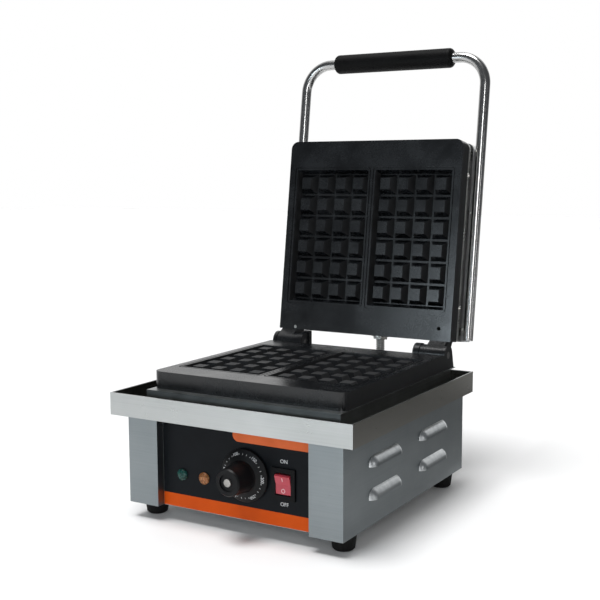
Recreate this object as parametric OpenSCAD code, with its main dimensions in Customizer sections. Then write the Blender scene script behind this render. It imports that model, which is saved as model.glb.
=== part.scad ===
// Twin waffle maker: a sheet steel base with a drip tray, two cast grid plates,
// and a lid that swings back on two hinge pins. Drawn with the lid open.
// X runs left to right, Y from the controls to the hinge, Z up from the feet.

/* [Base] */
// Width of the drip tray, the widest part of the base
tray_w = 280; // [260:1:300]
// Depth of the drip tray, front to back
tray_d = 288; // [270:1:310]
// Height of the drip tray's apron
tray_h = 23; // [16:1:30]
// Width of the body under the tray
body_w = 250; // [236:1:256]
// Depth of the body, front to back
body_d = 286; // [270:1:300]
// Height of the body, without the feet
body_h = 92; // [84:1:110]
// Height of the rubber feet
foot_h = 16; // [10:1:24]
// Set-back of the body's front from the tray's front edge
body_set = 10; // [6:1:14]
// Thickness of the sheet steel
sheet = 1; // [0.8:0.1:1.5]

/* [Plates] */
// Width of each cast plate
plate_w = 226; // [214:1:228]
// Depth of each cast plate
plate_d = 230; // [216:1:236]
// Thickness of each cast plate
plate_t = 18; // [16:1:22]
// Set-back of the lower plate from the tray's front edge
plate_set = 36; // [32:1:42]
// Depth of the waffle pockets
pocket_t = 11; // [8:0.5:13]
// Width of one waffle pocket
pocket_w = 97; // [90:1:98]
// Length of one waffle pocket
pocket_l = 160; // [150:1:166]
// Depth of the groove around each pocket
groove_t = 1.2; // [0.8:0.1:2]
// Pegs across one pocket
peg_cols = 4; // [3:1:5]
// Pegs along one pocket
peg_rows = 6; // [5:1:7]

/* [Lid] */
// Angle that the lid is open, as drawn
lid_open = 98; // [90:1:104]
// Distance of the hinge pins behind the lower plate
hinge_back = 15; // [14:0.5:18]
// Radius of the hinge pins
pin_r = 4; // [3:0.5:5]
// Thickness of the whole lid
lid_t = 60; // [54:1:68]
// Reach of the handle from the lid's hinge edge
handle_reach = 332; // [300:1:350]
// Outer diameter of the handle tube
handle_dia = 12; // [10:0.5:14]
// Outer diameter of the handle's grip
grip_dia = 23; // [20:0.5:26]
// Length of the handle's grip
grip_len = 156; // [120:1:164]

/* [Controls] */
// Diameter of the dial's skirt
dial_dia = 53; // [46:1:56]
// Reach of the dial's knob in front of the tray's edge
knob_reach = 13; // [8:0.5:18]
// Diameter of the indicator lamps
lamp_dia = 12; // [10:0.5:13]

/* [Hidden] */
$fn = 64;
gap = 0.05;

// Heights
body_top = foot_h + body_h;
tray_top = body_top + tray_h;
box_top = tray_top + sheet;
plate_top = box_top + plate_t;
plate_gap = 0.6;
tray_t = 1.5;

// The lid's layers above the plates' joint face, as if it were closed
face_z = plate_top + plate_gap;
shield_z = face_z + plate_t;
shield_h = 8.4;
vent_h = 7;
cover_z = shield_z + shield_h + vent_h;
cover_top = plate_top + lid_t;
handle_z = plate_top + 38;
handle_r = handle_dia / 2;
handle_x = plate_w / 2 + handle_r + 0.3;
bend_r = 33;

// Places along Y, first counted from the tray's front edge
plate_back = plate_set + plate_d;
hinge_set = plate_back + hinge_back;
hinge_z = plate_top - 2;
grip_back = hinge_set - (hinge_back + handle_reach) * cos(lid_open)
    + (handle_z - hinge_z) * sin(lid_open) + grip_dia / 2;
tray_y = -(grip_back - knob_reach) / 2;
body_y = tray_y + body_set;
body_back = body_y + body_d;
plate_y = tray_y + plate_set;
plate_mid = plate_y + plate_d / 2;
plate_end = plate_y + plate_d;
hinge_y = tray_y + hinge_set;
panel_y = body_y + 10;
strip_x = 88.5;

// Controls on the front panel: X and Z
dial_at = [12.5, 61.7];
green_at = [-64, 51];
amber_at = [-37, 51];
switch_at = [56, 59];
switch_w = 26;
switch_h = 31;

// Feet, glands and hinge parts
foot_x = body_w / 2 - 14;
foot_y = [body_y + 27, body_back - 27];
panel_screw_x = body_w / 2 - 9;
panel_screw_z = [foot_h + 10, body_top - 10];
gland_at = [-70, 45];
conduit_x = 2;
conduit_r = 5.5;
conduit_z = 62;
lid_nut_z = cover_top - 11.5;
lug_r = 11.5;
barrel_r = 10.5;
lug_x = [73.5, 81];
arm_x = [81.3, 108.7];
ear_x = [109, plate_w / 2];
web_x = 88;
stop_x = 71.5;
set_screw_x = 91;
element_r = 3.25;
element_x = 75;
element_l = 136;
element_end = plate_mid + element_l / 2;
capillary_y = plate_y + 8;

// Angle at which a line from a point touches a circle about the origin
function touch(p, r, side) = atan2(p[1], p[0]) + side * acos(r / norm(p));
function polar(a, r) = [r * cos(a), r * sin(a)];

// Swings its children, drawn with the lid closed, to the open lid
module swung() {
    translate([0, hinge_y, hinge_z]) rotate([-lid_open, 0, 0])
        translate([0, -hinge_y, -hinge_z]) children();
}

// Block between two corners
module block(a, b) {
    translate(a) cube(b - a);
}

// Slab with rounded upright edges, or with square ones at its rear
module slab(w, d, h, r, square_rear = false) {
    linear_extrude(h) {
        if (square_rear) translate([-w / 2, 0]) square([w, d / 2]);
        square([w - 2 * r, d], center = true);
        square([w, d - 2 * r], center = true);
        for (x = [-1, 1], y = [-1, 1])
            translate([x * (w / 2 - r), y * (d / 2 - r)]) circle(r);
    }
}

// Cylinder that points along +Y
module rod_y(r, l) {
    rotate([-90, 0, 0]) cylinder(r = r, h = l);
}

// Cylinder that points along +X
module rod_x(r, l) {
    rotate([0, 90, 0]) cylinder(r = r, h = l);
}

// Outline in Y and Z pulled out along X from x0 to x1
module side_cut(x0, x1) {
    translate([x0, 0, 0]) rotate([90, 0, 90]) linear_extrude(x1 - x0) children();
}

// Bar along Y whose width changes from foot to top
module ridge(foot_w, top_w, h, l) {
    rotate([90, 0, 0]) linear_extrude(l, center = true)
        polygon([[-foot_w / 2, 0], [foot_w / 2, 0], [top_w / 2, h], [-top_w / 2, h]]);
}

// Waffle pocket to cut from a face at z = 0: a tapered hollow around tapered pegs
module waffle_pocket() {
    peg_h = pocket_t - 0.6;
    pitch_x = pocket_w * 0.973 / peg_cols;
    pitch_y = pocket_l * 0.96 / peg_rows;
    top_k = 0.53;
    foot_k = 0.9;
    translate([0, 0, -pocket_t]) difference() {
        intersection() {
            ridge(pocket_w - 3.4, pocket_w + 0.2, pocket_t + 0.5, pocket_l + 10);
            rotate([0, 0, 90])
                ridge(pocket_l - 7, pocket_l + 0.3, pocket_t + 0.5, pocket_w + 10);
        }
        intersection() {
            for (i = [0 : peg_cols - 1])
                translate([(i - (peg_cols - 1) / 2) * pitch_x, 0, 0])
                    ridge(pitch_x * foot_k, pitch_x * top_k, peg_h, pocket_l);
            for (j = [0 : peg_rows - 1])
                translate([0, (j - (peg_rows - 1) / 2) * pitch_y, 0]) rotate([0, 0, 90])
                    ridge(pitch_y * foot_k, pitch_y * top_k, peg_h, pocket_w);
        }
    }
}

// Groove that leaves a raised rim around a pocket, to cut from a face at z = 0
module rim_groove() {
    translate([0, 0, -groove_t]) difference() {
        slab(pocket_w + 7, pocket_l + 7.2, groove_t + 1, 4.5);
        translate([0, 0, -1]) slab(pocket_w + 4, pocket_l + 4.2, groove_t + 3, 3);
    }
}

// Cast plate with its face up at z = 0, centred on X and Y
module grid_plate() {
    pocket_x = pocket_w / 2 + 4.75;
    difference() {
        translate([0, 0, -plate_t]) slab(plate_w, plate_d, plate_t, 9, true);
        for (x = [-1, 1]) translate([x * pocket_x, 0, 0]) {
            waffle_pocket();
            rim_groove();
        }
    }
}

// Hinge ear of the lower plate: a disc on a sloping web, in Y and Z about the pin
module ear_outline() {
    back = [16, box_top - hinge_z];
    front = [-hinge_back - 4, 0];
    difference() {
        union() {
            circle(lug_r);
            polygon([[front[0], back[1]], back, polar(touch(back, lug_r, 1), lug_r), [0, 0],
                [front[0], plate_top - hinge_z]]);
        }
        circle(pin_r + gap);
    }
}

// Hinge arm of the upper plate, drawn closed: a web from the plate to a barrel
module arm_outline() {
    low = [-hinge_back, face_z - hinge_z];
    high = [-hinge_back, shield_z - hinge_z];
    polygon([[low[0] - 4, low[1]], low, polar(touch(low, barrel_r, 1), barrel_r), [0, 0],
        polar(touch(high, barrel_r, -1), barrel_r), high, [low[0] - 4, high[1]]]);
    circle(barrel_r);
}

// Pan head screw with its head's seat at z = 0 and its shank pointing down
module screw(r, l, head_r, head_h) {
    difference() {
        union() {
            translate([0, 0, -l]) cylinder(r = r, h = l + head_h / 2);
            cylinder(r1 = head_r, r2 = head_r * 0.72, h = head_h);
        }
        for (a = [0, 90]) rotate([0, 0, a])
            translate([-head_r * 0.5, -0.5, head_h * 0.45]) cube([head_r, 1, head_h]);
    }
}

// Serpentine heater tube in the plane z = 0, with its two ends turned down
module heater(drop) {
    step = element_x * 2 / 3;
    for (x = [-1.5 : 1 : 1.5])
        translate([x * step, -element_l / 2, 0]) rod_y(element_r, element_l);
    for (i = [-1, 0, 1]) {
        side = (i == 0) ? 1 : -1;
        translate([i * step, side * element_l / 2, 0]) rotate([0, 0, side > 0 ? 0 : 180])
            rotate_extrude(angle = 180) translate([step / 2, 0]) circle(element_r);
    }
    for (x = [-1.5, 1.5]) translate([x * step, element_l / 2, 0]) {
        sphere(element_r);
        translate([0, 0, -drop]) cylinder(r = element_r, h = drop);
    }
}

// Pressed louvre hood, open below, on a panel whose outer face is x = 0
module louvre(r) {
    rise = 6;
    run = 48;
    intersection() {
        translate([-12 + rise, 0, 0]) {
            translate([0, -run / 2, 0]) rod_y(r, run);
            for (y = [-run / 2, run / 2]) translate([0, y, 0]) sphere(r);
        }
        block([-sheet, -run, 0], [rise + 1, run, 14]);
    }
}

module base_plate() {
    color("silver") difference() {
        block([-body_w / 2 + sheet, panel_y, foot_h],
            [body_w / 2 - sheet, body_back - sheet, foot_h + sheet]);
        for (x = [-1, 1], y = foot_y) translate([x * foot_x, y, 0]) cylinder(r = 2.6, h = 40);
        for (i = [-3 : 3], y = [plate_mid - 45, plate_mid + 45])
            translate([i * 14, y, 0]) block([-2, -25, 0], [2, 25, 40]);
    }
}

module feet() {
    color("#151515") for (x = [-1, 1], y = foot_y) translate([x * foot_x, y, 0])
        difference() {
            union() {
                translate([0, 0, 2]) cylinder(r1 = 11, r2 = 13, h = foot_h - 2);
                cylinder(r1 = 9, r2 = 11, h = 2);
            }
            translate([0, 0, -1]) cylinder(r = 5.5, h = 7);
            cylinder(r = 2.6, h = 60);
        }
}

module foot_screws() {
    color("silver") for (x = [-1, 1], y = foot_y)
        translate([x * foot_x, y, 6]) mirror([0, 0, 1]) screw(2.5, foot_h, 4.8, 2.6);
}

// Side of the body with its front strip, its return to the control panel and louvres
module side_panel() {
    x1 = body_w / 2;
    columns = [body_y + 86, body_y + 201];
    rows = [foot_h + 26, foot_h + 58.5];
    difference() {
        union() {
            block([x1 - sheet, body_y, foot_h], [x1, body_back, body_top]);
            block([strip_x, body_y, foot_h], [x1, body_y + sheet, body_top]);
            block([strip_x, body_y, foot_h], [strip_x + sheet, panel_y, body_top]);
            block([x1 - 16, body_back - 2 * sheet, foot_h + sheet], [x1, body_back - sheet, body_top]);
            for (y = columns, z = rows) translate([x1, y, z]) louvre(12);
        }
        for (y = columns, z = rows) translate([x1, y, z - 0.01]) louvre(11);
        for (z = panel_screw_z) translate([panel_screw_x, body_back - 5, z]) rod_y(1.7, 10);
    }
}

module left_panel() {
    color("silver") mirror([1, 0, 0]) side_panel();
}

module right_panel() {
    color("silver") side_panel();
}

module rear_panel() {
    color("silver") difference() {
        block([-body_w / 2 + sheet, body_back - sheet, foot_h + sheet],
            [body_w / 2 - sheet, body_back, body_top]);
        translate([gland_at[0], body_back - 5, gland_at[1]]) rod_y(8.1, 10);
        translate([conduit_x, body_back - 5, conduit_z]) rod_y(7.1, 10);
        for (i = [-2 : 2]) translate([i * 12 + 70, body_back, 50])
            block([-2, -5, -15], [2, 5, 25]);
        for (x = [-1, 1], z = panel_screw_z)
            translate([x * panel_screw_x, body_back - 5, z]) rod_y(1.7, 10);
    }
}

module panel_holes() {
    translate([dial_at[0], panel_y, dial_at[1]]) rod_y(5.1, 10);
    for (p = [green_at, amber_at]) translate([p[0], panel_y, p[1]]) rod_y(lamp_dia / 2 - 1, 10);
    translate([switch_at[0], panel_y + 5, switch_at[1]])
        cube([switch_w - 3, 10, switch_h - 3], center = true);
}

module front_panel() {
    color("dimgray") difference() {
        block([-strip_x - sheet, panel_y, foot_h + sheet],
            [strip_x + sheet, panel_y + 1.2, body_top]);
        translate([0, -2, 0]) panel_holes();
    }
}

module control_label() {
    color("#2b2f33") difference() {
        block([-strip_x + 0.5, panel_y - 0.5, foot_h + 0.5],
            [strip_x - 0.5, panel_y, body_top - 0.5]);
        translate([0, -5, 0]) panel_holes();
    }
}

module panel_screws() {
    color("silver") for (x = [-1, 1], z = panel_screw_z)
        translate([x * panel_screw_x, body_back, z]) rotate([-90, 0, 0]) screw(1.6, 8, 3, 1.8);
}

module drip_tray() {
    color("silver") difference() {
        block([-tray_w / 2, tray_y, body_top], [tray_w / 2, tray_y + tray_d, tray_top]);
        block([-tray_w / 2 + tray_t, tray_y + tray_t, body_top + tray_t],
            [tray_w / 2 - tray_t, tray_y + tray_d - tray_t, tray_top + 5]);
        for (x = [-1, 1]) translate([x * element_x, element_end, body_top - 5])
            cylinder(r = 5, h = 10);
        translate([dial_at[0], capillary_y, body_top - 5]) cylinder(r = 3, h = 10);
    }
}

// Raised steel box in the tray that carries the lower plate and ends in a rear lip
module element_box() {
    x1 = plate_w / 2 + 0.5;
    y1 = plate_y - 10;
    y2 = tray_y + tray_d - tray_t;
    color("silver") difference() {
        union() {
            block([-x1, y1, body_top + tray_t], [x1, y2, box_top]);
            block([-x1, y2 - 1, tray_top], [x1, y2 + 14, box_top]);
        }
        block([-x1 + sheet, y1 + sheet, body_top], [x1 - sheet, y2 - sheet, tray_top]);
        block([-x1 + 16, y1 + 26, tray_top - 5], [x1 - 16, plate_end - 14, box_top + 5]);
        for (x = [-1, 1], y = [plate_y + 7, plate_end - 7])
            translate([x * 95, y, body_top + 5]) cylinder(r = 2.6, h = 40);
    }
}

module lower_plate() {
    color("#1b1c1f") difference() {
        union() {
            translate([0, plate_mid, plate_top]) grid_plate();
            for (s = [-1, 1], e = [lug_x, ear_x]) translate([0, hinge_y, hinge_z])
                side_cut(s > 0 ? e[0] : -e[1], s > 0 ? e[1] : -e[0]) ear_outline();
            block([-lug_x[1], hinge_y + pin_r + 1.5, box_top],
                [-stop_x, hinge_y + lug_r + 0.5, hinge_z + 13]);
        }
        for (x = [-1, 1], y = [plate_y + 7, plate_end - 7])
            translate([x * 95, y, box_top - 1]) cylinder(r = 2.1, h = 9);
    }
}

module lower_element() {
    color("dimgray") translate([0, plate_mid, box_top - element_r - gap]) heater(34);
}

module lower_clamp() {
    color("silver") difference() {
        translate([0, plate_mid, box_top - 2 * element_r - 2 * gap - 1.5])
            slab(188, 202, 1.5, 4);
        for (x = [-1, 1]) translate([x * element_x, element_end, 100])
            cylinder(r = 4.5, h = 50);
    }
}

module lower_insulation() {
    color("ivory") difference() {
        translate([0, plate_mid, body_top + tray_t + gap])
            slab(200, 214, box_top - body_top - tray_t - 2 * element_r - 2, 3);
        for (x = [-1, 1]) translate([x * element_x, element_end, 100])
            cylinder(r = 4.5, h = 50);
        translate([dial_at[0], capillary_y, 100]) cylinder(r = 3, h = 50);
    }
}

module plate_screws() {
    color("silver") for (x = [-1, 1], y = [plate_y + 7, plate_end - 7])
        translate([x * 95, y, tray_top]) mirror([0, 0, 1]) screw(2, 8, 4, 2.4);
}

module hinge_pins() {
    color("dimgray") for (s = [-1, 1]) translate([s > 0 ? lug_x[0] : -ear_x[1],
        hinge_y, hinge_z]) rod_x(pin_r, ear_x[1] - lug_x[0]);
}

module thermostat() {
    color("silver") translate([dial_at[0], panel_y + 1.2, dial_at[1]]) difference() {
        union() {
            block([-22, 1, -17], [22, 27, 17]);
            translate([0, -2, 0]) rod_y(5, 10);
            rotate([-90, 0, 0]) cylinder(r = 8, h = 2, $fn = 6);
            for (z = [-9, 9]) block([-14, 26, z - 3], [14, 36, z - 2.2]);
        }
        translate([0, -5, 0]) rod_y(3 + gap, 25);
    }
}

module thermostat_bulb() {
    z = box_top - 3.2;
    low = dial_at[1] + 17;
    color("peru") translate([dial_at[0], capillary_y, 0]) {
        translate([0, 10, z]) rod_y(3, 70);
        translate([0, 6, z]) rod_y(1.1, 5);
        translate([0, 6, z - 6]) rotate([90, 0, 90]) rotate([0, 0, 90])
            rotate_extrude(angle = 90) translate([6, 0]) circle(1.1);
        translate([0, 0, low]) cylinder(r = 1.1, h = z - 6 - low);
    }
}

module thermostat_shaft() {
    color("silver") translate([dial_at[0], tray_y - knob_reach + 9, dial_at[1]])
        rod_y(3, panel_y - tray_y + knob_reach + 6);
}

// Dial: a printed skirt and a tapered knob, drawn along Z with its face up
module dial_knob() {
    skirt_r = dial_dia / 2;
    height = panel_y - 2 - (tray_y - knob_reach);
    color("#101010") translate([dial_at[0], panel_y - 2, dial_at[1]]) rotate([90, 0, 0])
        difference() {
            rotate_extrude($fn = 96) polygon([[0, 0], [skirt_r, 0], [skirt_r, 1.6],
                [skirt_r - 0.6, 2.2], [18.5, 5.4], [16.2, 6.4], [15.2, 9], [13.6, height - 1.6],
                [12.4, height], [8.6, height], [8.6, height - 1.8], [0, height - 1.8]]);
            translate([0, 0, -1]) cylinder(r = 3, h = height - 8);
        }
}

module knob_cap() {
    color("gray") translate([dial_at[0], tray_y - knob_reach + 1.8, dial_at[1]])
        rotate([90, 0, 0]) difference() {
            cylinder(r = 3.8, h = 1.4);
            translate([0, 0, 1]) cylinder(r = 2.9, h = 2);
        }
}

// Domed lamp lens that points along -Y
module lens(p) {
    r = lamp_dia / 2;
    translate([p[0], panel_y - 0.5, p[1]]) rotate([90, 0, 0]) {
        cylinder(r = r, h = 1.5);
        translate([0, 0, 1.5]) intersection() {
            translate([0, 0, -4]) sphere(sqrt(r * r + 16));
            cylinder(r = r, h = 8);
        }
        translate([0, 0, -2]) cylinder(r = r - 1.6, h = 2.2);
    }
}

module green_lamp() {
    color("seagreen") lens(green_at);
}

module amber_lamp() {
    color("darkorange") lens(amber_at);
}

module lamp_holders() {
    color("ivory") for (p = [green_at, amber_at])
        translate([p[0], panel_y + 1.5, p[1]]) {
            rod_y(lamp_dia / 2 - 1.2, 20);
            for (x = [-2.4, 2.4]) block([x - 0.4, 19, -1.5], [x + 0.4, 28, 1.5]);
        }
}

module switch_housing() {
    color("#141414") translate([switch_at[0], panel_y - 0.5, switch_at[1]]) {
        difference() {
            union() {
                block([-switch_w / 2, -2.2, -switch_h / 2], [switch_w / 2, 0, switch_h / 2]);
                block([-switch_w / 2 + 1.6, -1, -switch_h / 2 + 1.6],
                    [switch_w / 2 - 1.6, 20, switch_h / 2 - 1.6]);
            }
            block([-8.6, -10, -11], [8.6, 13, 11]);
            translate([-10.2, 2, 0]) rod_x(1.5 + gap, 20.4);
        }
        for (z = [-8, 0, 8], x = [-5, 5]) block([x - 0.4, 19, z - 2.4], [x + 0.4, 27, z + 2.4]);
    }
}

// Rocker at rest, with its lower half pressed in
module switch_rocker() {
    color("#c8202c") translate([switch_at[0], panel_y + 1.5, switch_at[1]])
        rotate([10, 0, 0]) {
            intersection() {
                translate([-8.3, 0, 0]) rod_x(10.6, 16.6);
                side_cut(-9, 9) polygon([[7, -7], [7, 7], [-5.4, 11], [-3.6, 0], [-5.4, -11]]);
            }
            translate([-10, 0, 0]) rod_x(1.5, 20);
        }
}

module terminal_block() {
    color("ivory") translate([-70, body_back - 60, foot_h + sheet]) difference() {
        block([-24, -11, 0], [24, 11, 17]);
        for (i = [-1.5 : 1 : 1.5]) translate([i * 11, 0, 0]) {
            translate([0, -5, 8]) cylinder(r = 2.4, h = 12);
            translate([0, 5, 8]) cylinder(r = 2.4, h = 12);
            translate([0, -12, 6]) rod_y(1.9, 24);
        }
    }
}

module cord_gland() {
    color("#181818") translate([gland_at[0], body_back, gland_at[1]]) difference() {
        union() {
            translate([0, -10, 0]) rod_y(8, 22);
            translate([0, 0, 0]) rotate([-90, 0, 0]) cylinder(r = 12, h = 5, $fn = 6);
            translate([0, -6, 0]) rotate([-90, 0, 0]) cylinder(r = 12, h = 5, $fn = 6);
            translate([0, 7, 0]) rotate([-90, 0, 0]) cylinder(r1 = 11, r2 = 7.5, h = 11);
        }
        translate([0, -15, 0]) rod_y(4.5, 40);
    }
}

// Nut that holds an end of the wire conduit, along Z, with its outer face up
module conduit_nut() {
    difference() {
        union() {
            cylinder(r = 11, h = 2);
            cylinder(r = 9.5, h = 5, $fn = 6);
            translate([0, 0, -7]) cylinder(r = 7, h = 8);
        }
        translate([0, 0, -8]) cylinder(r = conduit_r + gap, h = 20);
    }
}

module base_conduit_nut() {
    color("silver") translate([conduit_x, body_back, conduit_z]) rotate([-90, 0, 0])
        conduit_nut();
}

// Where the hose meets the lid, in Y and Z
function lid_conduit_at() = [
    hinge_y - cos(lid_open) * hinge_back + sin(lid_open) * (lid_nut_z - hinge_z),
    hinge_z + sin(lid_open) * hinge_back + cos(lid_open) * (lid_nut_z - hinge_z)];

// Steel hose that carries the lid's wires from the rear panel up to the lid
module wire_conduit() {
    at = lid_conduit_at();
    out = body_back + 6;
    r = at[0] - out;
    color("gray") translate([conduit_x, 0, 0]) rotate([90, 0, 90]) {
        translate([out - 10, conduit_z, 0]) rotate([0, 90, 0]) hose_run(10);
        translate([out, conduit_z + r, 0]) rotate([0, 0, -90]) hose_bend(r, 90);
        translate([out + r, conduit_z + r, 0]) rotate([-90, 0, 0])
            hose_run(at[1] - 7.5 - conduit_z - r);
    }
}

module hose_run(l) {
    linear_extrude(l) difference() {
        circle(conduit_r);
        circle(conduit_r - 1.5);
    }
}

module hose_bend(r, a) {
    rotate_extrude(angle = a) translate([r, 0]) difference() {
        circle(conduit_r);
        circle(conduit_r - 1.5);
    }
}

module lid_conduit_nut() {
    color("silver") swung() translate([conduit_x, plate_end, lid_nut_z])
        rotate([-90, 0, 0]) conduit_nut();
}

module upper_plate() {
    color("#1b1c1f") swung() difference() {
        union() {
            translate([0, plate_mid, face_z]) rotate([0, 180, 0]) grid_plate();
            for (s = [-1, 1]) translate([0, hinge_y, hinge_z]) {
                side_cut(s > 0 ? web_x : -arm_x[1], s > 0 ? arm_x[1] : -web_x) arm_outline();
                side_cut(s > 0 ? arm_x[0] : -arm_x[1], s > 0 ? arm_x[1] : -arm_x[0])
                    circle(barrel_r);
            }
        }
        translate([-plate_w / 2 - 5, hinge_y, hinge_z]) rod_x(pin_r + gap, plate_w + 10);
        translate([plate_w / 2 - 15, plate_end - 14, face_z - 1]) cylinder(r = 2.2, h = 9);
        translate([-set_screw_x, plate_end - 3, face_z - 1]) cylinder(r = 2.1, h = 8);
    }
}

module upper_element() {
    color("dimgray") swung() translate([0, plate_mid, shield_z + element_r + gap])
        rotate([0, 180, 0]) heater(14);
}

module heat_shield() {
    w = plate_w - 2;
    d = plate_d - 2;
    color("silver") swung() difference() {
        translate([0, plate_mid, shield_z]) slab(w, d, shield_h, 8, true);
        translate([0, plate_mid, shield_z - 1])
            slab(w - 2 * sheet, d - 2 * sheet, shield_h, 7, true);
        for (x = [-1, 1]) translate([x * element_x, element_end, shield_z])
            cylinder(r = 5, h = 20);
        for (y = shield_screw_y()) translate([-plate_w / 2 - 5, y, shield_z + 5])
            rod_x(1.6, plate_w + 10);
    }
}

function shield_screw_y() = [plate_end - 39, plate_end - 191];

// Screws on the lid's sides that hold the shield
module shield_screws() {
    color("silver") swung() for (s = [-1, 1], y = shield_screw_y())
        translate([s * (plate_w / 2 - 1), y, shield_z + 5]) rotate([0, s * 90, 0])
            screw(1.5, 6, 2.6, 1.4);
}

module pin_set_screw() {
    color("silver") swung() translate([-set_screw_x, plate_end - 3, face_z + 0.5])
        difference() {
            cylinder(r = 2, h = 6);
            translate([0, 0, -1]) cylinder(r = 1, h = 3, $fn = 6);
        }
}

module upper_insulation() {
    color("ivory") swung() difference() {
        translate([0, plate_mid, shield_z + shield_h + gap]) slab(190, 200, 16, 3);
        for (x = [-1, 1]) translate([x * element_x, element_end, shield_z])
            cylinder(r = 5, h = 60);
    }
}

module cover_spacers() {
    color("silver") swung() for (x = [-1, 1], y = [-1, 1])
        translate([x * 102, plate_mid + y * 104, shield_z + shield_h]) difference() {
            cylinder(r = 5, h = cover_top - sheet - shield_z - shield_h);
            translate([0, 0, 12]) cylinder(r = 2.1, h = 60);
        }
}

module lid_cover() {
    color("silver") swung() difference() {
        translate([0, plate_mid, cover_z]) slab(plate_w, plate_d, cover_top - cover_z, 9, true);
        translate([0, plate_mid, cover_z - 1])
            slab(plate_w - 2 * sheet, plate_d - 2 * sheet, cover_top - cover_z + 1 - sheet, 8,
                true);
        for (x = [-1, 1], y = [-1, 1])
            translate([x * 102, plate_mid + y * 104, cover_z]) cylinder(r = 2.1, h = 40);
        for (y = handle_screw_y()) translate([-plate_w / 2 - 5, y, handle_z])
            rod_x(2.1, plate_w + 10);
        translate([conduit_x, plate_end - 5, lid_nut_z]) rod_y(7.1, 10);
    }
}

function handle_screw_y() = [plate_end - 14, plate_end - 150];

module cover_screws() {
    color("silver") swung() for (x = [-1, 1], y = [-1, 1])
        translate([x * 102, plate_mid + y * 104, cover_top]) screw(2, 16, 4.2, 2.2);
}

module handle_tube() {
    bar_y = plate_end - handle_reach;
    leg = plate_end - 2 - bar_y - bend_r;
    color("silver") swung() difference() {
        union() {
            for (s = [-1, 1]) {
                translate([s * handle_x, bar_y + bend_r, handle_z]) rotate([-90, 0, 0])
                    handle_run(leg);
                translate([s * (handle_x - bend_r), bar_y + bend_r, handle_z])
                    rotate([0, 0, s > 0 ? -90 : 180]) rotate_extrude(angle = 90)
                        translate([bend_r, 0]) handle_ring();
            }
            translate([-handle_x + bend_r, bar_y, handle_z]) rotate([0, 90, 0])
                handle_run(2 * (handle_x - bend_r));
        }
        for (y = handle_screw_y()) translate([-handle_x, y, handle_z])
            rod_x(2.1, 2 * handle_x);
    }
}

module handle_ring() {
    difference() {
        circle(handle_r);
        circle(handle_r - 1.2);
    }
}

module handle_run(l) {
    linear_extrude(l) handle_ring();
}

module handle_grip() {
    r = grip_dia / 2;
    round = 5;
    corner = [for (a = [0 : 15 : 90])
        [r - round + round * sin(a), grip_len / 2 - round + round * cos(a)]];
    color("#101010") swung() translate([0, plate_end - handle_reach, handle_z])
        rotate([0, 90, 0]) for (s = [0, 1]) mirror([0, 0, s]) rotate_extrude($fn = 72)
            polygon(concat([[handle_r + gap, 0], [handle_r + gap, grip_len / 2]], corner,
                [[r, 0]]));
}

module handle_screws() {
    color("silver") swung() for (s = [-1, 1], y = handle_screw_y())
        translate([s * (plate_w / 2 - sheet), y, handle_z]) rotate([0, -s * 90, 0])
            screw(2, 10, 3.6, 1.8);
}

base_plate();
feet();
foot_screws();
left_panel();
right_panel();
rear_panel();
front_panel();
control_label();
panel_screws();
drip_tray();
element_box();
lower_plate();
lower_element();
lower_clamp();
lower_insulation();
plate_screws();
hinge_pins();
thermostat();
thermostat_bulb();
thermostat_shaft();
dial_knob();
knob_cap();
green_lamp();
amber_lamp();
lamp_holders();
switch_housing();
switch_rocker();
terminal_block();
cord_gland();
base_conduit_nut();
wire_conduit();
lid_conduit_nut();
upper_plate();
upper_element();
heat_shield();
shield_screws();
pin_set_screw();
upper_insulation();
cover_spacers();
lid_cover();
cover_screws();
handle_tube();
handle_grip();
handle_screws();
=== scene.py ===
# Looks of the twin waffle maker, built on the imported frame. Metres, +Z up, lid open at rest.
import math

import bmesh
import bpy
from mathutils import Matrix, Vector

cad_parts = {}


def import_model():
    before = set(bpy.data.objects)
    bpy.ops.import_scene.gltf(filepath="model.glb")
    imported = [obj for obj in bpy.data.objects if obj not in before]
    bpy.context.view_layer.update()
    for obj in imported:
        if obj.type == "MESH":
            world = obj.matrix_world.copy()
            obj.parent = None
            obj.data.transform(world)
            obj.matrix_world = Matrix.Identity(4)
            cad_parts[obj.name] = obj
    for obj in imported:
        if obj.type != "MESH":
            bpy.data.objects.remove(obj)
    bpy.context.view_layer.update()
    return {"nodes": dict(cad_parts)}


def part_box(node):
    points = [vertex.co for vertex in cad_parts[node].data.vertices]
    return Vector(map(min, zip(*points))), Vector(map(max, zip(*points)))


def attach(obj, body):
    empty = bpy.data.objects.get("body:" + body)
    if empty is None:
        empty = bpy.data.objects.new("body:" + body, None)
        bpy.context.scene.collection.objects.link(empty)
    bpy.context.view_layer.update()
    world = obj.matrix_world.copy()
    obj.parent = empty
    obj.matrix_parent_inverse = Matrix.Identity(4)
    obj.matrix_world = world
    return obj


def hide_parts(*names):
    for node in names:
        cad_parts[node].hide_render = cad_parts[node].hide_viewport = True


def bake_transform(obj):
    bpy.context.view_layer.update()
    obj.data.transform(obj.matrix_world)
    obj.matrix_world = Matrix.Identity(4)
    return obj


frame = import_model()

NODES = frame["nodes"]


# ---------------------------------------------------------------- materials

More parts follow.
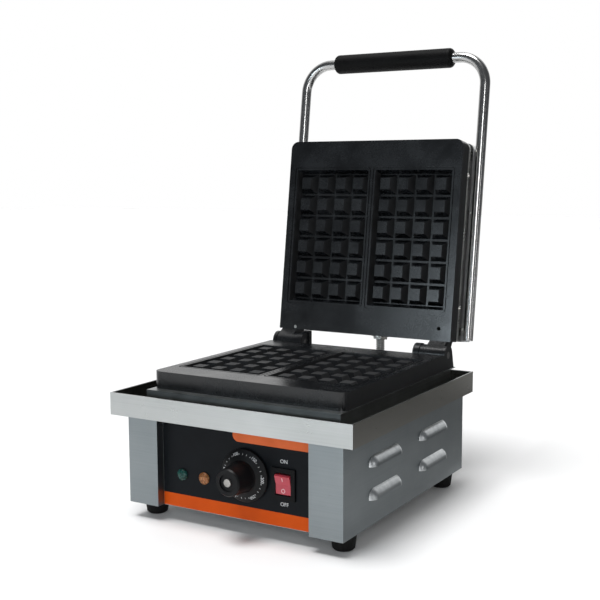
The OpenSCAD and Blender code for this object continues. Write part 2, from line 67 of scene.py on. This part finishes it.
class Look:
    """A procedural material on the Principled shader, in the object's own metres."""

    def __init__(self, name, color, rough, metal=0.0, **sockets):
        self.mat = bpy.data.materials.new(name)
        self.mat.use_nodes = True
        self.tree = self.mat.node_tree
        self.shader = self.tree.nodes["Principled BSDF"]
        self.shader.inputs["Base Color"].default_value = (*color, 1)
        self.shader.inputs["Roughness"].default_value = rough
        self.shader.inputs["Metallic"].default_value = metal
        for key, value in sockets.items():
            self.shader.inputs[key.replace("_", " ")].default_value = value
        self.coords = self.node("ShaderNodeTexCoord").outputs["Object"]

    def node(self, kind, **props):
        made = self.tree.nodes.new(kind)
        for key, value in props.items():
            setattr(made, key, value)
        return made

    def join(self, source, target):
        if isinstance(source, bpy.types.NodeSocket):
            self.tree.links.new(source, target)
        elif isinstance(source, tuple) and len(source) == 3 and target.type == "RGBA":
            target.default_value = (*source, 1)
        else:
            target.default_value = source

    def math(self, op, a, b=0.0, c=0.0):
        made = self.node("ShaderNodeMath", operation=op)
        for socket, value in zip(made.inputs, (a, b, c)):
            self.join(value, socket)
        return made.outputs[0]

    def scaled(self, stretch):
        made = self.node("ShaderNodeMapping")
        self.join(self.coords, made.inputs["Vector"])
        made.inputs["Scale"].default_value = stretch
        return made.outputs[0]

    def noise(self, scale, stretch=(1, 1, 1), detail=3.0, rough=0.55):
        made = self.node("ShaderNodeTexNoise")
        self.join(self.scaled(stretch), made.inputs["Vector"])
        made.inputs["Scale"].default_value = scale
        made.inputs["Detail"].default_value = detail
        made.inputs["Roughness"].default_value = rough
        return made.outputs["Fac"]

    def span(self, value, a, b, lo=0.0, hi=1.0):
        made = self.node("ShaderNodeMapRange")
        for socket, number in zip(made.inputs, (value, a, b, lo, hi)):
            self.join(number, socket)
        return made.outputs[0]

    def mix(self, fac, a, b):
        made = self.node("ShaderNodeMix", data_type="RGBA")
        self.join(fac, made.inputs["Factor"])
        self.join(a, made.inputs[6])
        self.join(b, made.inputs[7])
        return made.outputs[2]

    def axes(self):
        made = self.node("ShaderNodeSeparateXYZ")
        self.join(self.coords, made.inputs[0])
        return made.outputs

    def facing(self, axis):
        """How squarely a surface faces along an axis of the object, either way."""
        made = self.node("ShaderNodeSeparateXYZ")
        self.join(self.node("ShaderNodeTexCoord").outputs["Normal"], made.inputs[0])
        return self.math("ABSOLUTE", made.outputs["XYZ".index(axis)])

    def color(self, value):
        self.join(value, self.shader.inputs["Base Color"])

    def roughness(self, value):
        self.join(value, self.shader.inputs["Roughness"])

    def bump(self, height, depth, strength=1.0):
        made = self.node("ShaderNodeBump")
        made.inputs["Strength"].default_value = strength
        made.inputs["Distance"].default_value = depth
        self.join(height, made.inputs["Height"])
        self.join(made.outputs[0], self.shader.inputs["Normal"])


def brushed(name, light, dark, rough):
    """Brushed sheet: fine grain that runs sideways on upright faces and along Y on level ones."""
    look = Look(name, light, rough, 1.0)
    along, across = 6, 900
    upright = look.noise(1.0, (along, along, across), 2.0, 0.6)
    level = look.noise(1.0, (across, along, along), 2.0, 0.6)
    flat = look.span(look.facing("Z"), 0.6, 0.8)
    grain = look.math("ADD", look.math("MULTIPLY", upright, look.math("SUBTRACT", 1.0, flat)),
                      look.math("MULTIPLY", level, flat))
    cloud = look.noise(9, (1, 1, 1.6), 3.0)
    look.color(look.mix(look.span(look.math("ADD", look.math("MULTIPLY", grain, 0.6), cloud),
                                  0.55, 1.05), dark, light))
    smear = look.noise(38, (1, 1, 1), 4.0, 0.6)
    look.roughness(look.math("ADD", look.span(smear, 0.3, 0.7, rough - 0.05, rough + 0.05),
                             look.span(grain, 0.2, 0.8, -0.04, 0.04)))
    look.bump(grain, 0.00002, 0.4)
    return look.mat


def more_on(mat):
    """Reopens a finished material so that more can be laid over its colour."""
    look = Look.__new__(Look)
    look.mat, look.tree = mat, mat.node_tree
    look.shader = look.tree.nodes["Principled BSDF"]
    look.coords = look.node("ShaderNodeTexCoord").outputs["Object"]
    return look, look.shader.inputs["Base Color"].links[0].from_socket


def body_steel(name):
    """Grey sheet with a darker base than the apron, which paints shade onto the side panels;
    curved faces where it bends, as on the louvres, carry a bright painted highlight.
    """
    # Darker base than the apron steel: painted shade for the side panels.
    mat = brushed(name, (0.25, 0.275, 0.285), (0.205, 0.23, 0.24), 0.35)
    look, sheet = more_on(mat)
    flat = look.math("MAXIMUM", look.facing("X"),
                     look.math("MAXIMUM", look.facing("Y"), look.facing("Z")))
    patch_noise = look.noise(160, detail=4.0)
    # Curved faces get a bright painted highlight colour in place of a reflection.
    painted_bend_highlight = look.mix(look.span(patch_noise, 0.3, 0.7), (0.62, 0.65, 0.66), (0.8, 0.83, 0.84))
    look.color(look.mix(look.span(flat, 0.99, 0.9), sheet, painted_bend_highlight))
    return mat


def tray_steel(name, box):
    """Bright apron with painted shade on its faces that look along X, and a trough painted dark
    inside as painted shade.
    """
    mat = brushed(name, (0.49, 0.505, 0.5), (0.41, 0.425, 0.42), 0.32)
    look, apron_sheet = more_on(mat)
    # Faces looking along X are painted darker: painted shade on the apron's sides.
    apron_sheet = look.mix(look.span(look.facing("X"), 0.8, 0.95), apron_sheet, (0.24, 0.236, 0.215))
    # Inside the trough the colour is painted dark: painted shade, mottled by noise.
    wall, rim = 0.0012, 0.0008
    x, y, z = look.axes()
    inside = look.math("LESS_THAN", look.math("ABSOLUTE", x), box[1][0] - wall)
    inside = look.math("MULTIPLY", inside, look.math("GREATER_THAN", y, box[0][1] + wall))
    inside = look.math("MULTIPLY", inside, look.math("LESS_THAN", y, box[1][1] - wall))
    inside = look.math("MULTIPLY", inside, look.math("LESS_THAN", z, box[1][2] - rim))
    trough_shade_noise = look.noise(45, detail=6.0, rough=0.6)
    painted_trough_shade = look.mix(look.span(trough_shade_noise, 0.3, 0.7), (0.07, 0.068, 0.06), (0.16, 0.16, 0.15))
    look.color(look.mix(inside, apron_sheet, painted_trough_shade))
    return mat


def coated_casting(name, peg_top=None):
    """Dark non-stick coating with fine orange peel and faint rubbed patches.

    Level faces no higher than peg_top are dulled by a film of baked batter.
    """
    look = Look(name, (0.006, 0.0065, 0.007), 0.3, Specular_IOR_Level=0.5)
    peel = look.noise(900, detail=2.0)
    patch_noise = look.noise(26, detail=5.0, rough=0.6)
    look.color(look.mix(look.span(patch_noise, 0.35, 0.75),
                        (0.0035, 0.004, 0.0048), (0.0085, 0.0098, 0.0115)))
    smooth = look.math("ADD", look.span(patch_noise, 0.3, 0.7, 0.2, 0.31),
                       look.span(peel, 0.3, 0.7, -0.03, 0.03))
    dull = look.span(look.facing("X"), 0.8, 0.95, 0.0, 0.55)
    if peg_top:
        level = look.math("GREATER_THAN", look.facing("Z"), 0.95)
        low = look.math("LESS_THAN", look.axes()[2], peg_top + 0.0003)
        film = look.math("MULTIPLY", look.math("MULTIPLY", level, low),
                         look.span(patch_noise, 0.3, 0.7, 0.3, 0.5))
        dull = look.math("ADD", dull, film)
    look.roughness(look.math("ADD", smooth, dull))
    look.bump(peel, 0.00004, 0.25)
    return look.mat


def polished(name, color, rough=0.08):
    look = Look(name, color, rough, 1.0)
    haze = look.noise(60, detail=4.0)
    fine = look.noise(1.0, (240, 30, 240), 2.0)
    look.color(look.mix(look.span(haze, 0.3, 0.8), color, tuple(c * 0.86 for c in color)))
    look.roughness(look.math("ADD", look.span(haze, 0.3, 0.7, rough * 0.8, rough * 1.3),
                             look.span(fine, 0.2, 0.8, -0.006, 0.006)))
    return look.mat


def plastic(name, color, rough, grain=1400, depth=0.00002, spec=0.5, **more):
    """Moulded plastic: fine grain, slight colour drift and a touch of dust."""
    look = Look(name, color, rough, Specular_IOR_Level=spec, **more)
    fine = look.noise(grain, detail=2.0)
    drift = look.noise(30, detail=4.0)
    look.color(look.mix(look.span(drift, 0.3, 0.75), tuple(c * 0.82 for c in color),
                        tuple(min(1, c * 1.2 + 0.0015) for c in color)))
    look.roughness(look.math("ADD", look.span(drift, 0.3, 0.7, rough - 0.05, rough + 0.06),
                             look.span(fine, 0.3, 0.7, -0.03, 0.03)))
    look.bump(fine, depth, 0.5)
    return look.mat


def lamp_lens(name, color):
    """Faceted translucent lens: darker cells and a brighter core."""
    look = Look(name, color, 0.2, Specular_IOR_Level=0.3, Subsurface_Weight=0.25,
                Subsurface_Scale=0.004)
    cells = look.node("ShaderNodeTexVoronoi")
    look.join(look.coords, cells.inputs["Vector"])
    cells.inputs["Scale"].default_value = 520
    tone = look.span(cells.outputs["Distance"], 0.1, 0.8)
    look.color(look.mix(tone, tuple(min(1, c * 1.5 + 0.02) for c in color),
                        tuple(c * 0.45 for c in color)))
    look.bump(cells.outputs["Distance"], 0.0003, 0.6)
    return look.mat


def label_film(name, box):
    """Charcoal film with an orange band along the foot and one at the top with a round end."""
    look = Look(name, (0.006, 0.0075, 0.009), 0.42, Specular_IOR_Level=0.1)
    x, y, z = look.axes()
    foot_height, half_band = 0.0135, 0.0065
    end_x = 0.004
    mid_z = box[0][2] + 0.0835
    foot = look.math("LESS_THAN", z, box[0][2] + foot_height)
    high = look.math("LESS_THAN", look.math("ABSOLUTE", look.math("SUBTRACT", z, mid_z)),
                     half_band)
    right = look.math("GREATER_THAN", x, end_x)
    dx = look.math("SUBTRACT", x, end_x)
    dz = look.math("SUBTRACT", z, mid_z)
    reach = look.math("SQRT", look.math("ADD", look.math("MULTIPLY", dx, dx),
                                        look.math("MULTIPLY", dz, dz)))
    cap = look.math("LESS_THAN", reach, half_band)
    top = look.math("MAXIMUM", look.math("MULTIPLY", high, right), cap)
    wear = look.noise(45, detail=5.0)
    film = look.mix(look.span(wear, 0.3, 0.75), (0.003, 0.004, 0.0055), (0.006, 0.0075, 0.0095))
    low_ink = look.mix(look.span(wear, 0.3, 0.7), (0.51, 0.062, 0.002), (0.58, 0.078, 0.004))
    top_ink = look.mix(look.span(wear, 0.3, 0.7), (0.6, 0.12, 0.035), (0.7, 0.15, 0.05))
    look.color(look.mix(foot, look.mix(top, film, top_ink), low_ink))
    look.roughness(look.span(wear, 0.3, 0.7, 0.34, 0.5))
    look.bump(look.noise(2200, detail=1.0), 0.00001, 0.4)
    return look.mat


def fibre(name, light, dark):
    look = Look(name, light, 0.95)
    strands = look.noise(160, (1, 1, 5), 6.0, 0.7)
    look.color(look.mix(look.span(strands, 0.35, 0.65), dark, light))
    look.bump(strands, 0.0006, 0.8)
    return look.mat


def heater_metal(name, color, tint):
    """Sheath or copper that heat and handling have tinted."""
    look = Look(name, color, 0.42, 0.9)
    patch = look.noise(70, detail=5.0)
    look.color(look.mix(look.span(patch, 0.35, 0.7), color, tint))
    look.roughness(look.span(patch, 0.3, 0.7, 0.3, 0.55))
    look.bump(look.noise(500), 0.00004, 0.5)
    return look.mat


def ink(name, color):
    look = Look(name, color, 0.5)
    worn = look.noise(900, detail=3.0)
    look.color(look.mix(look.span(worn, 0.35, 0.6), tuple(c * 0.7 for c in color), color))
    look.roughness(look.span(worn, 0.3, 0.7, 0.4, 0.6))
    return look.mat


def floor_paint(name):
    look = Look(name, (0.86, 0.86, 0.86), 0.6)
    wide = look.noise(1.3, detail=3.0)
    look.color(look.mix(look.span(wide, 0.3, 0.7), (0.85, 0.85, 0.85), (0.88, 0.88, 0.88)))
    look.roughness(look.span(wide, 0.3, 0.7, 0.55, 0.68))
    return look.mat


apron_steel = tray_steel("apron_steel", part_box("drip_tray"))
strip_steel = body_steel("body_steel")
box_steel = brushed("box_steel", (0.42, 0.44, 0.44), (0.28, 0.295, 0.295), 0.36)
band_steel = brushed("band_steel", (0.58, 0.59, 0.58), (0.46, 0.47, 0.46), 0.3)
# Lid cover steel has a far brighter base than the other steel: painted light on the cover.
lit_cover_steel = brushed("lit_cover_steel", (0.84, 0.85, 0.85), (0.72, 0.735, 0.735), 0.4)
hidden_steel = brushed("panel_steel", (0.5, 0.51, 0.51), (0.4, 0.41, 0.41), 0.42)
casting = coated_casting("dark_coating")
PLATE_HEIGHT = 0.0174
lower_casting = coated_casting("lower_coating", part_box("element_box")[1][2] + PLATE_HEIGHT)
chrome = polished("handle_chrome", (0.46, 0.46, 0.455), 0.2)
zinc = polished("screw_zinc", (0.6, 0.6, 0.57), 0.28)
pin_black = polished("pin_steel", (0.05, 0.05, 0.05), 0.3)
nickel = polished("nut_nickel", (0.4, 0.39, 0.37), 0.24)
rubber = plastic("foot_rubber", (0.005, 0.005, 0.005), 0.75, 700, 0.00006, 0.2)
grip_black = plastic("grip_plastic", (0.003, 0.003, 0.0032), 0.5, 1100, 0.00003, 0.08)
dial_black = plastic("dial_plastic", (0.0025, 0.0027, 0.0033), 0.42, spec=0.18)
bezel_black = plastic("bezel_plastic", (0.002, 0.002, 0.0025), 0.4, spec=0.12)
gland_black = plastic("gland_plastic", (0.014, 0.014, 0.014), 0.45)
holder_pale = plastic("pale_plastic", (0.68, 0.64, 0.52), 0.5)
rocker_red = plastic("rocker_plastic", (0.42, 0.04, 0.062), 0.3, 900, 0.00001,
                     Subsurface_Weight=0.3, Subsurface_Scale=0.004)
green_lens = lamp_lens("green_lens", (0.002, 0.05, 0.04))
amber_lens = lamp_lens("amber_lens", (0.3, 0.12, 0.04))
wool = fibre("mineral_wool", (0.09, 0.09, 0.085), (0.03, 0.03, 0.03))
sheath = heater_metal("heater_sheath", (0.12, 0.11, 0.1), (0.05, 0.042, 0.04))
copper = heater_metal("copper", (0.7, 0.32, 0.2), (0.42, 0.18, 0.12))
white_ink = ink("white_ink", (0.72, 0.74, 0.75))
rocker_ink = ink("rocker_ink", (0.8, 0.5, 0.52))

WEAR = {
    "base_plate": hidden_steel, "feet": rubber, "foot_screws": zinc, "left_panel": strip_steel,
    "right_panel": strip_steel, "rear_panel": hidden_steel, "front_panel": hidden_steel,
    "panel_screws": zinc, "drip_tray": apron_steel, "element_box": box_steel,
    "lower_plate": lower_casting, "lower_element": sheath, "lower_clamp": hidden_steel,
    "lower_insulation": wool, "plate_screws": zinc, "hinge_pins": pin_black,
    "thermostat": hidden_steel, "thermostat_bulb": copper, "thermostat_shaft": zinc,
    "dial_knob": dial_black, "knob_cap": nickel, "green_lamp": green_lens,
    "amber_lamp": amber_lens, "lamp_holders": holder_pale, "switch_housing": bezel_black,
    "switch_rocker": rocker_red, "terminal_block": holder_pale, "cord_gland": gland_black,
    "base_conduit_nut": nickel, "lid_conduit_nut": nickel, "upper_plate": casting,
    "upper_element": sheath, "heat_shield": band_steel, "shield_screws": zinc,
    "pin_set_screw": zinc, "upper_insulation": wool, "cover_spacers": zinc,
    "lid_cover": lit_cover_steel, "cover_screws": zinc, "handle_tube": chrome,
    "handle_grip": grip_black, "handle_screws": zinc,
}


def dress(node, mat):
    for slot in NODES[node].material_slots:
        slot.material = mat


for node, mat in WEAR.items():
    dress(node, mat)
dress("control_label", label_film("label_film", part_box("control_label")))


# ---------------------------------------------------------------- pieces

MARK_THICK = 0.00012
SKIN = 0.00003


def mesh_piece(name, bm, mat, body):
    """Turns a bmesh into a piece. It rides on the body, or is left free if there is none."""
    mesh = bpy.data.meshes.new(name)
    bmesh.ops.recalc_face_normals(bm, faces=bm.faces)
    bm.to_mesh(mesh)
    bm.free()
    piece = bpy.data.objects.new(name, mesh)
    bpy.context.collection.objects.link(piece)
    mesh.materials.append(mat)
    if body:
        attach(piece, body)
    return piece


def lettering(parts):
    """One bmesh of thin raised characters. Each part is text, cap height and a placing matrix."""
    bm = bmesh.new()
    for text, height, place in parts:
        curve = bpy.data.curves.new("mark", "FONT")
        curve.body = text
        curve.align_x = "CENTER"
        curve.align_y = "CENTER"
        curve.size = height * 1.4
        curve.extrude = MARK_THICK / 2
        holder = bpy.data.objects.new("mark", curve)
        bpy.context.collection.objects.link(holder)
        bpy.context.view_layer.update()
        mesh = bpy.data.meshes.new_from_object(holder)
        mesh.transform(place)
        bm.from_mesh(mesh)
        bpy.data.objects.remove(holder)
        bpy.data.curves.remove(curve)
        bpy.data.meshes.remove(mesh)
    return bm


def on_front(x, y, z):
    """Places a mark drawn in XY on an upright face that looks to -Y."""
    return Matrix.Translation((x, y, z)) @ Matrix.Rotation(math.radians(90), 4, "X")


def panel_marks():
    """ON above the switch and OFF below it."""
    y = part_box("control_label")[0][1] - SKIN
    low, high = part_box("switch_housing")
    x = (low[0] + high[0]) / 2
    cap_height = 0.0038
    bm = lettering([("ON", cap_height, on_front(x, y, high[2] + 0.0062)),
                    ("OFF", cap_height, on_front(x + 0.0005, y, low[2] - 0.0048))])
    return mesh_piece("panel_marks", bm, white_ink, "base")


def dial_marks():
    """Numbers and ticks on the sloping skirt of the dial."""
    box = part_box("dial_knob")
    cx, cz = (box[0][0] + box[1][0]) / 2, (box[0][2] + box[1][2]) / 2
    back = box[1][1]
    drop, width = 3.2, 7.4
    slope = math.atan2(drop, width)
    edge_lift, edge_radius = 0.0022, 0.0259
    first_angle, ticks_apart, ticks_a_number = -80, 11.5, 5
    parts = []

    def on_skirt(angle, radius):
        lift = edge_lift + (edge_radius - radius) * drop / width + SKIN
        spin = Matrix.Rotation(math.radians(angle), 4, (0, 1, 0))
        return (Matrix.Translation((cx, back, cz)) @ spin @ Matrix.Translation((0, -lift, radius))
                @ Matrix.Rotation(math.radians(90) - slope, 4, "X"))

    for step in range(6):
        angle = first_angle + ticks_apart * ticks_a_number * step
        parts.append((str(50 * (step + 1)), 0.0031, on_skirt(angle, 0.0222)))
    bm = lettering(parts)
    for step in range(26):
        if step % ticks_a_number == 0:
            continue
        angle = first_angle + ticks_apart * step
        tick = bmesh.ops.create_cube(bm, size=1.0)["verts"]
        bmesh.ops.transform(bm, verts=tick, matrix=on_skirt(angle, 0.0218)
                            @ Matrix.Diagonal((0.0004, 0.0014, MARK_THICK, 1)))
    return mesh_piece("dial_marks", bm, white_ink, "dial")


def rocker_marks():
    """A stroke and a ring on the two halves of the rocker."""
    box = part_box("switch_rocker")
    cx = (box[0][0] + box[1][0]) / 2
    pivot = Vector((cx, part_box("control_label")[1][1] + 0.0015,
                    (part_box("switch_housing")[0][2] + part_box("switch_housing")[1][2]) / 2))
    rest = Matrix.Translation(pivot) @ Matrix.Rotation(math.radians(10), 4, "X")
    lean = math.atan2(2.2, 12)
    out, up = 0.0047, 0.0058
    stroke_at = rest @ Matrix.Translation((0, -out, up)) @ Matrix.Rotation(lean, 4, "X")
    ring_at = rest @ Matrix.Translation((0, -out, -up)) @ Matrix.Rotation(-lean, 4, "X")
    bm = bmesh.new()
    stroke = bmesh.ops.create_cube(bm, size=1.0)["verts"]
    bmesh.ops.transform(bm, verts=stroke,
                        matrix=stroke_at @ Matrix.Diagonal((0.0009, 0.0002, 0.0042, 1)))
    steps = 40
    turn = [2 * math.pi * i / steps for i in range(steps)]
    loops = []
    for radius in (0.0022, 0.0015):
        for y in (-0.0001, 0.0001):
            loops.append([bm.verts.new(ring_at @ Vector((radius * math.cos(a), y,
                                                         radius * math.sin(a))))
                          for a in turn])
    outer_f, outer_b, inner_f, inner_b = loops
    for a, b in ((outer_f, outer_b), (outer_b, inner_b), (inner_b, inner_f), (inner_f, outer_f)):
        for i in range(steps):
            j = (i + 1) % steps
            bm.faces.new((a[i], a[j], b[j], b[i]))
    return mesh_piece("rocker_marks", bm, rocker_ink, "rocker")


def hose_steel(name):
    look = Look(name, (0.42, 0.42, 0.41), 0.3, 1.0)
    grime = look.noise(120, detail=4.0)
    look.color(look.mix(look.span(grime, 0.3, 0.7), (0.2, 0.2, 0.195), (0.5, 0.5, 0.49)))
    look.roughness(look.span(grime, 0.3, 0.7, 0.22, 0.42))
    look.bump(look.noise(700), 0.00003, 0.4)
    return look.mat


def wound_hose():
    """Wound metal hose with a rolled profile, from the rear nut up to the lid's nut."""
    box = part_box("wire_conduit")
    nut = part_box("lid_conduit_nut")
    r = (box[1][0] - box[0][0]) / 2
    cx = (box[0][0] + box[1][0]) / 2
    low_z = box[0][2] + r
    up_y = box[1][1] - r
    start = box[0][1]
    stub, into_nut = 0.010, 0.004
    out_y = start + stub
    bend = up_y - out_y
    end_z = nut[0][2] + into_nut
    quarter = bend * math.pi / 2
    run = end_z - (low_z + bend)
    total = (out_y - start) + quarter + run
    pitch, rings_a_wind, around = 0.0026, 6, 32
    clear, groove = 0.0001, 0.0007
    rings = int(total / pitch) * rings_a_wind
    bm = bmesh.new()
    last = None
    for k in range(rings + 1):
        s = total * k / rings
        if s < out_y - start:
            at, along = Vector((cx, start + s, low_z)), Vector((0, 1, 0))
        elif s < out_y - start + quarter:
            a = (s - (out_y - start)) / bend
            at = Vector((cx, out_y + bend * math.sin(a), low_z + bend * (1 - math.cos(a))))
            along = Vector((0, math.cos(a), math.sin(a)))
        else:
            at = Vector((cx, up_y, low_z + bend + s - (out_y - start) - quarter))
            along = Vector((0, 0, 1))
        side = Vector((1, 0, 0))
        lift = side.cross(along)
        phase = (k % rings_a_wind) / rings_a_wind
        swell = r - clear - groove * (1 - math.sin(math.pi * phase)) ** 1.5
        ring = [bm.verts.new(at + swell * (math.cos(2 * math.pi * i / around) * side
                                           + math.sin(2 * math.pi * i / around) * lift))
                for i in range(around)]
        if last:
            for i in range(around):
                j = (i + 1) % around
                bm.faces.new((last[i], last[j], ring[j], ring[i]))
        last = ring
    for face in bm.faces:
        face.smooth = True
    piece = mesh_piece("wound_hose", bm, hose_steel("hose_steel"), None)
    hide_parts("wire_conduit")
    return piece, Vector((cx, up_y, low_z + bend)), Vector((cx, up_y, end_z))


panel_marks()
dial_marks()
rocker_marks()
hose, bend_from, bend_to = wound_hose()
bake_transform(hose)


# ---------------------------------------------------------------- edges

def soften(node, width):
    """Rounds the sharp edges of a node, as pressed or moulded edges are."""
    obj = NODES[node]
    bevel = obj.modifiers.new("edges", "BEVEL")
    bevel.width = width
    bevel.segments = 2
    bevel.limit_method = "ANGLE"
    bevel.angle_limit = math.radians(50)
    bevel.harden_normals = True


for node, width in (("drip_tray", 0.0005), ("element_box", 0.0004)):
    soften(node, width)


# ---------------------------------------------------------------- studio

def floor():
    bm = bmesh.new()
    size = 14.0
    steps = 8
    grid = [[bm.verts.new((size * (i / steps - 0.5), size * (j / steps - 0.5), 0.0))
             for j in range(steps + 1)] for i in range(steps + 1)]
    for i in range(steps):
        for j in range(steps):
            bm.faces.new((grid[i][j], grid[i + 1][j], grid[i + 1][j + 1], grid[i][j + 1]))
    mesh = bpy.data.meshes.new("floor")
    bm.to_mesh(mesh)
    bm.free()
    obj = bpy.data.objects.new("floor", mesh)
    bpy.context.collection.objects.link(obj)
    mesh.materials.append(floor_paint("floor_paint"))


def world():
    """Studio surroundings: white backdrop, with dimmer walls to the right and in front."""
    made = bpy.data.worlds.new("studio")
    bpy.context.scene.world = made
    made.use_nodes = True
    tree = made.node_tree
    tree.nodes.clear()
    coords = tree.nodes.new("ShaderNodeTexCoord")
    dot = tree.nodes.new("ShaderNodeVectorMath")
    dot.operation = "DOT_PRODUCT"
    dot.inputs[1].default_value = Vector((-0.5, 0.8, 0.35)).normalized()
    tree.links.new(coords.outputs["Generated"], dot.inputs[0])
    ramp = tree.nodes.new("ShaderNodeValToRGB")
    ramp.color_ramp.interpolation = "EASE"
    ramp.color_ramp.elements[0].position = 0.3
    ramp.color_ramp.elements[0].color = (0.1, 0.104, 0.11, 1)
    ramp.color_ramp.elements[1].position = 0.8
    ramp.color_ramp.elements[1].color = (0.86, 0.86, 0.86, 1)
    tree.links.new(dot.outputs["Value"], ramp.inputs[0])
    seen = tree.nodes.new("ShaderNodeLightPath")
    pick = tree.nodes.new("ShaderNodeMix")
    pick.data_type = "RGBA"
    tree.links.new(seen.outputs["Is Camera Ray"], pick.inputs["Factor"])
    tree.links.new(ramp.outputs[0], pick.inputs[6])
    pick.inputs[7].default_value = (1.0, 1.0, 1.0, 1)
    back = tree.nodes.new("ShaderNodeBackground")
    tree.links.new(pick.outputs[2], back.inputs[0])
    out = tree.nodes.new("ShaderNodeOutputWorld")
    tree.links.new(back.outputs[0], out.inputs[0])


def area_light(name, at, target, size, power, color=(1, 1, 1)):
    data = bpy.data.lights.new(name, "AREA")
    data.shape = "RECTANGLE"
    data.size, data.size_y = size
    data.energy = power
    data.color = color
    obj = bpy.data.objects.new(name, data)
    bpy.context.collection.objects.link(obj)
    obj.location = at
    obj.rotation_euler = (Vector(target) - Vector(at)).to_track_quat("-Z", "Y").to_euler()


def sun(name, direction, power, angle):
    data = bpy.data.lights.new(name, "SUN")
    data.energy = power
    data.angle = math.radians(angle)
    obj = bpy.data.objects.new(name, data)
    bpy.context.collection.objects.link(obj)
    obj.rotation_euler = Vector(direction).to_track_quat("-Z", "Y").to_euler()


def camera():
    data = bpy.data.cameras.new("camera")
    data.sensor_width = 36.0
    data.lens = 63.11
    data.clip_start = 0.02
    data.clip_end = 50.0
    obj = bpy.data.objects.new("camera", data)
    bpy.context.collection.objects.link(obj)
    azimuth, elevation, roll = (math.radians(v) for v in (30.71, 6.96, -0.21))
    back = Vector((math.sin(azimuth) * math.cos(elevation),
                   -math.cos(azimuth) * math.cos(elevation), math.sin(elevation)))
    right = Vector((math.cos(azimuth), math.sin(azimuth), 0.0))
    up = back.cross(right)
    tilted = math.cos(roll) * right + math.sin(roll) * up
    upright = back.cross(tilted)
    place = Matrix((tilted, upright, back)).transposed().to_4x4()
    place.translation = (0.56583, -0.99152, 0.35396)
    obj.matrix_world = place
    bpy.context.scene.camera = obj


def shade_sheet(name, corners, shades):
    """Grey sheet that only reflections see: painted shade on the floor, seen only in what the
    metal reflects. Shades run from its first edge to its last.
    """
    bm = bmesh.new()
    bm.faces.new([bm.verts.new(corner) for corner in corners])
    mesh = bpy.data.meshes.new(name)
    bm.to_mesh(mesh)
    bm.free()
    obj = bpy.data.objects.new(name, mesh)
    bpy.context.collection.objects.link(obj)
    first, last = Vector(corners[0]), Vector(corners[-1])
    along = (last - first).normalized()
    paint = Look(name, (shades[0],) * 3, 0.9)
    across = paint.node("ShaderNodeVectorMath", operation="DOT_PRODUCT")
    paint.join(paint.coords, across.inputs[0])
    across.inputs[1].default_value = along
    start = first.dot(along)
    fade = paint.span(across.outputs["Value"], start, start + (last - first).length)
    paint.color(paint.mix(fade, (shades[0],) * 3, (shades[1],) * 3))
    mesh.materials.append(paint.mat)
    obj.visible_camera = False
    obj.visible_diffuse = False
    obj.visible_shadow = False


floor()
world()
sun("overhead", (0.1, 0.2, -1.0), 2.9, 30)
area_light("low_window", (-0.42, -1.7, 0.4), (0.05, 0, 0.22), (0.5, 0.22), 4.2, (0.8, 0.92, 1.0))
area_light("front_strip", (0.95, -1.62, 0.72), (0, 0, 0.2), (0.28, 0.8), 7)
area_light("side_strip", (1.5, -0.3, 0.35), (0, -0.1, 0.15), (0.08, 0.6), 0.7)
# Reflection-only sheets: painted shade in what the metal reflects of the floor to the right.
shade_sheet("side_card", ((0.145, -0.25, 0.003), (0.36, -0.25, 0.003), (0.36, 0.6, 0.003),
                   (0.145, 0.6, 0.003)), (0.55, 0.03))
shade_sheet("far_card", ((0.36, -0.4, 0.0035), (2.2, -0.4, 0.0035), (2.2, 3.4, 0.0035),
                  (0.36, 3.4, 0.0035)), (0.01, 0.12))
camera()
bpy.context.scene.view_settings.view_transform = "Standard"
